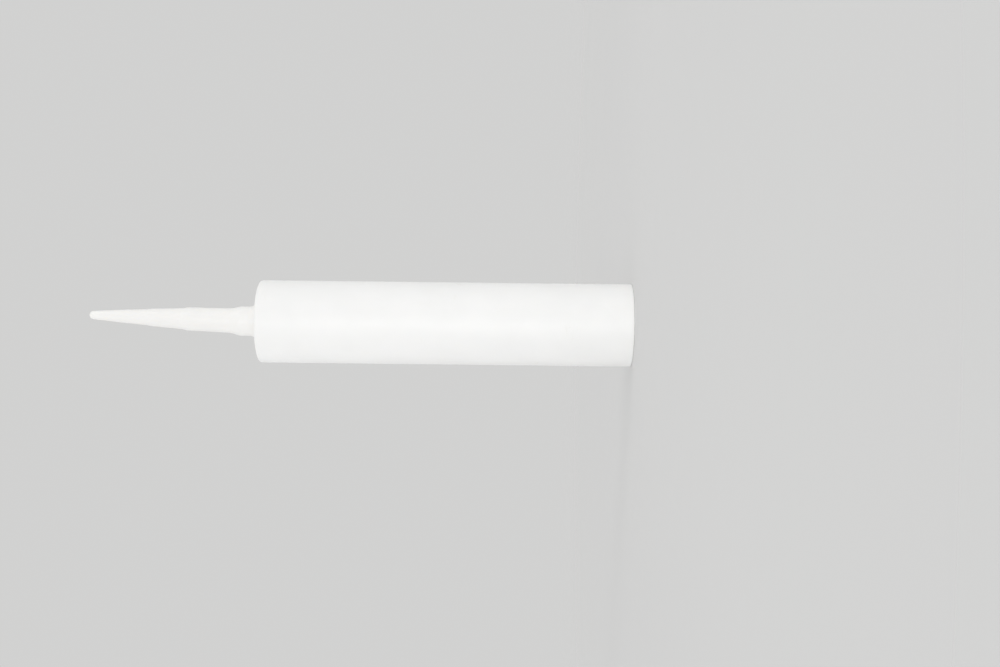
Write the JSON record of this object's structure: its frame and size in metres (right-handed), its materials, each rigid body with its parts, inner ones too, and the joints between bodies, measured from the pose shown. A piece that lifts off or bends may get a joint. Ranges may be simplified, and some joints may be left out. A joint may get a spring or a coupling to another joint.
{
  "type": "caulk tube",
  "caption": "Round plastic sealant cartridge with a sliding piston in its open rear end and a long stepped nozzle screwed onto the threaded spout at its front.",
  "frame": {"origin": "centre of the rear rim, which the tube stands on", "axes": "+Z along the barrel's axis from the rear rim to the nozzle; the nozzle's cone leans slightly towards +X"},
  "size_m": [0.048, 0.048, 0.3155],
  "materials": {
    "barrel_plastic": "satin moulded polyethylene, opaque white",
    "piston_plastic": "matt moulded polyethylene, milky white",
    "sealant_paste": "smooth wet white paste",
    "nozzle_plastic": "satin moulded polyethylene, slightly milky white"
  },
  "bodies": {
    "cartridge": {"barrel": "barrel_plastic", "sealant": "sealant_paste"},
    "piston": {"piston": "piston_plastic"},
    "slug": {"sealant_slug": "sealant_paste"},
    "nozzle": {"nozzle": "nozzle_plastic"}
  },
  "joints": [
    {"name": "piston_slide", "type": "slide", "parent": "cartridge", "child": "piston", "axis": [0, 0, 1], "range_m": [0, 0.1799], "deforming": ["sealant"]},
    {"name": "nozzle_rise", "type": "slide", "parent": "cartridge", "child": "slug", "axis": [0, 0, 1], "range_m": [0, 0.015]},
    {"name": "nozzle_turn", "type": "hinge", "parent": "slug", "child": "nozzle", "pos_m": [0, 0, 0.2163], "axis": [0, 0, 1], "range_deg": [0, 1800]}
  ],
  "couplings": [
    {"joint": "nozzle_rise", "follows": "nozzle_turn", "m_per_rad": 0.00047746}
  ]
}
